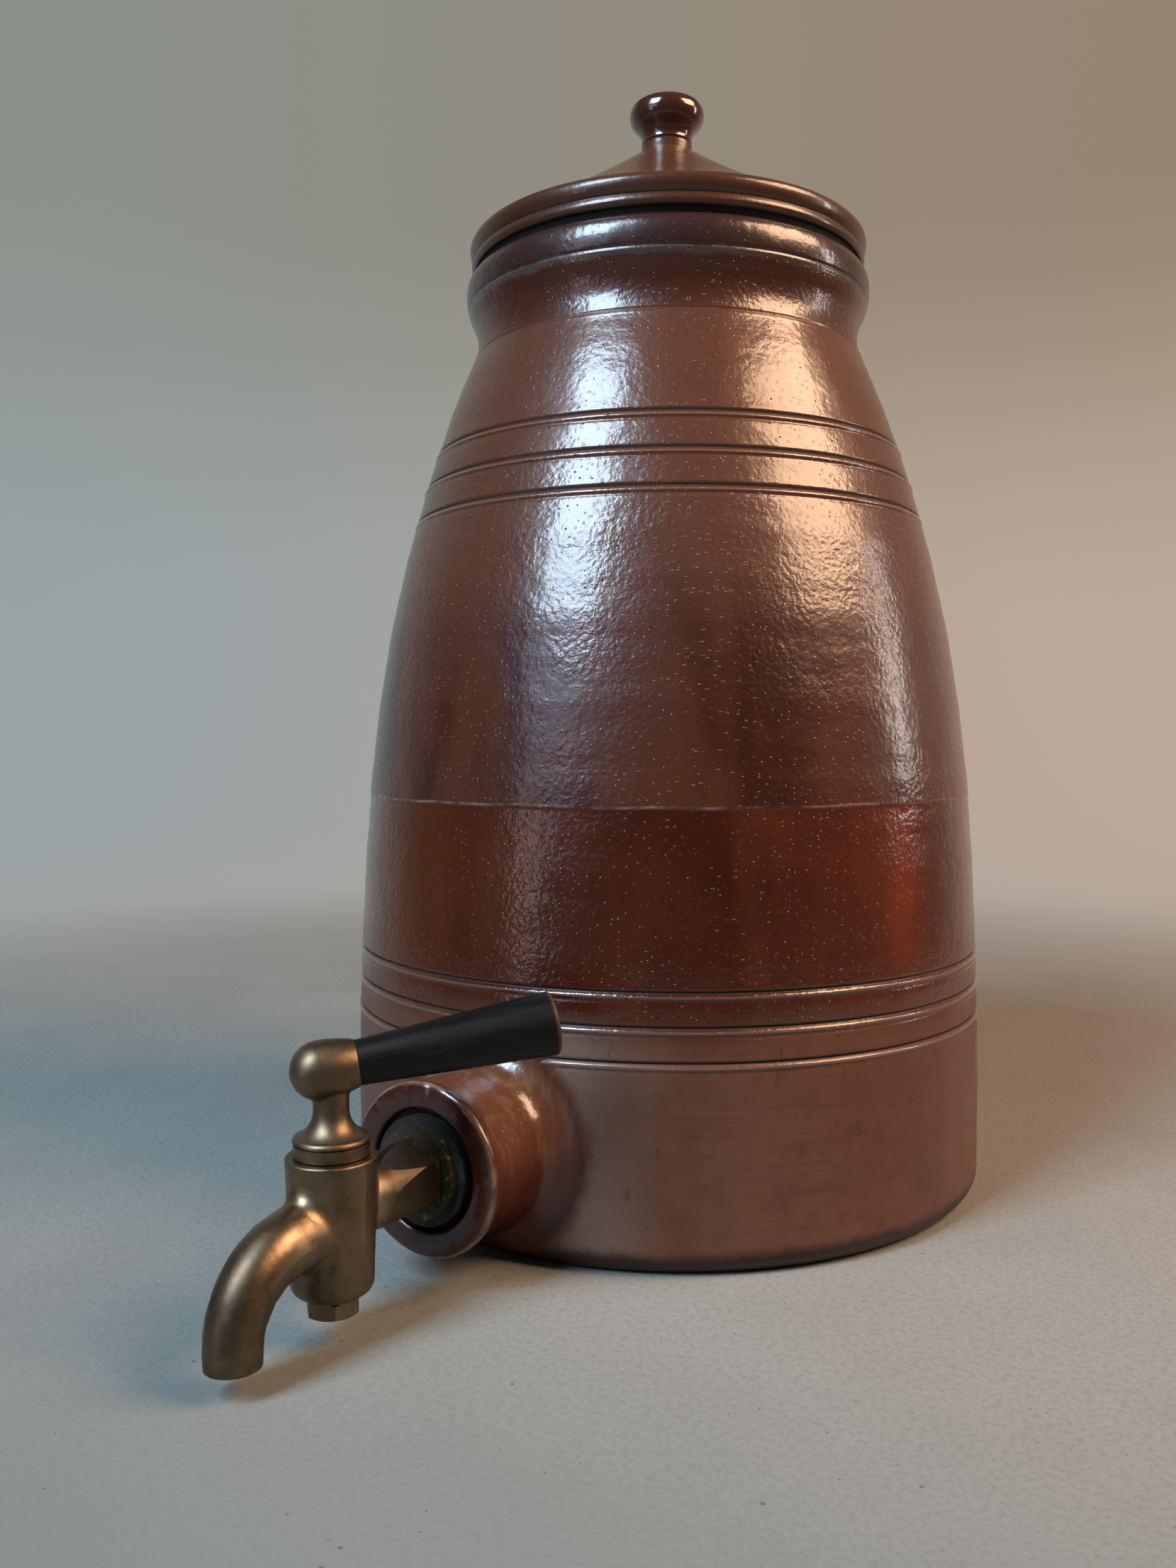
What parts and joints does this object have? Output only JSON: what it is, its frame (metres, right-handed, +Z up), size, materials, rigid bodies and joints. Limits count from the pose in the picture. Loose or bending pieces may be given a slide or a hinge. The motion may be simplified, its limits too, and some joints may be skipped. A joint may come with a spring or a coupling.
{
  "type": "water dispenser",
  "caption": "Stoneware water pot with a hollow neck, a loose conical lid with a knob, and a plug-cock tap on a round boss at its foot.",
  "frame": {"origin": "centre of the pot's underside, on the surface that it stands on", "axes": "+Z up along the pot's axis; the tap points to -Y; +X is to the right seen from the tap's side"},
  "size_m": [0.2, 0.2947, 0.3464],
  "materials": {
    "stoneware": "salt glaze, semi-gloss orange peel",
    "brass": "aged, satin",
    "grip_wood": "dark stain, worn at the end",
    "rod_steel": "plain",
    "seal_rubber": "matt"
  },
  "bodies": {
    "pot": {"jar": "stoneware", "tap_body": "brass", "outer_gasket": "seal_rubber", "inner_gasket": "seal_rubber", "inner_washer": "brass", "back_nut": "brass"},
    "lid": {"lid": "stoneware"},
    "key": {"tap_key": "brass", "key_washer": "brass", "key_nut": "brass", "handle_grip": "grip_wood", "handle_rod": "rod_steel"}
  },
  "joints": [
    {"name": "lid_lift", "type": "slide", "parent": "pot", "child": "lid", "axis": [0, 0, 1], "range_m": [0, 0.08]},
    {"name": "key_turn", "type": "hinge", "parent": "pot", "child": "key", "pos_m": [0, -0.158, 0.0307], "axis": [0, 0, 1], "continuous": true}
  ]
}
